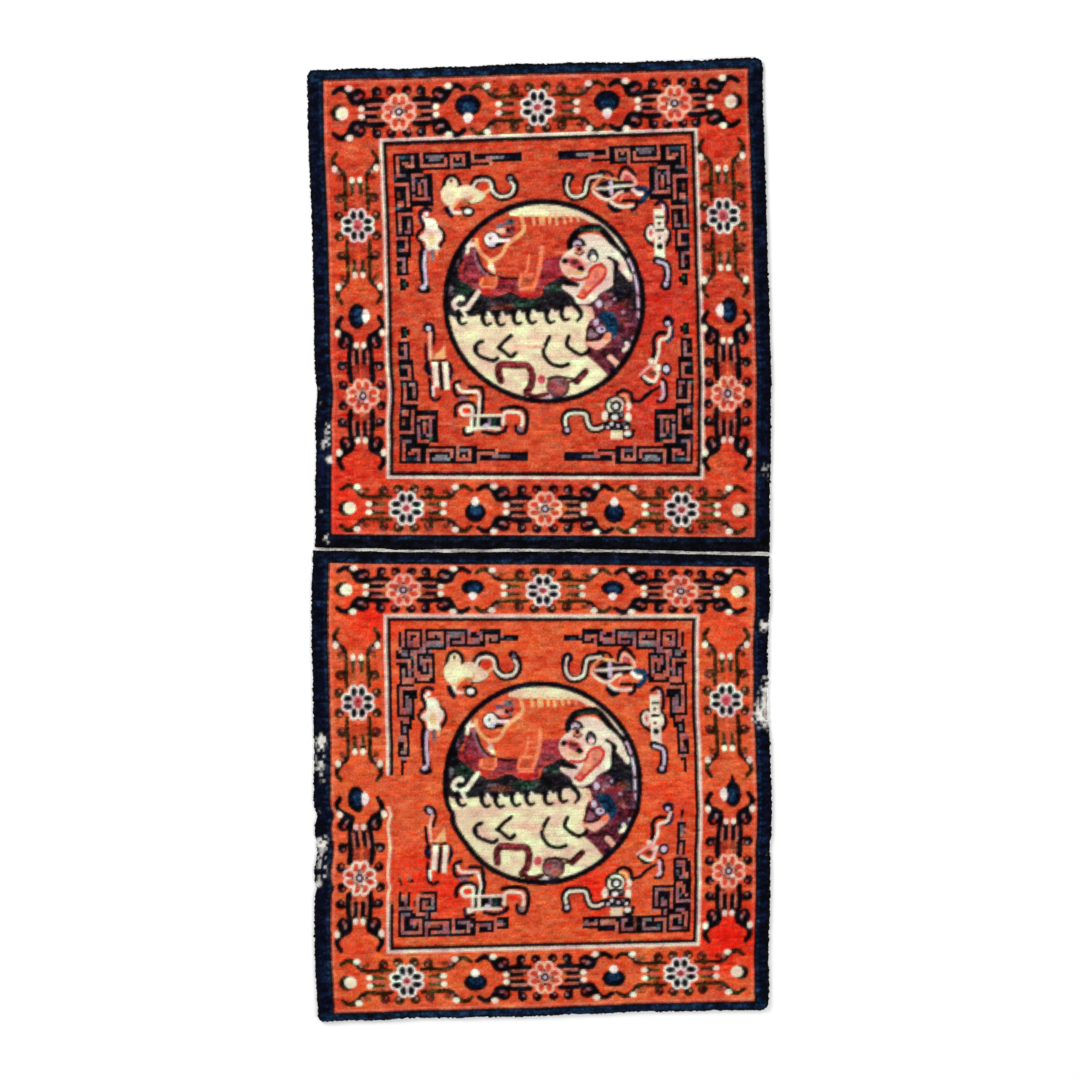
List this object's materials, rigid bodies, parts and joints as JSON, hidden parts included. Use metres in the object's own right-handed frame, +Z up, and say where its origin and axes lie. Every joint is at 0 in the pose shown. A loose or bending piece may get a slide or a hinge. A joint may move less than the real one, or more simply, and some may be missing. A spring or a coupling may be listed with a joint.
{
  "type": "knotted wool double seat rug",
  "caption": "Flat knotted wool pile rug with bordered medallion squares woven end to end in one length, parted by a bare band; lies on a floor, bench or seat.",
  "frame": {"origin": "under the middle of the rug's outline, on the floor that it lies on", "axes": "+X across the width, +Y along the length towards the head of the pattern, +Z up out of the pile"},
  "size_m": [0.6731, 1.3972, 0.0088],
  "materials": {
    "wool_pile": "dense cut wool pile, hand-knotted, dull, with faded bands of dye and wear along the edges",
    "cotton_ground": "undyed cotton plain weave, matt, bare in the band between the squares, where worn, and under the rug"
  },
  "bodies": {
    "root": {"rug": "wool_pile"}
  },
  "joints": []
}
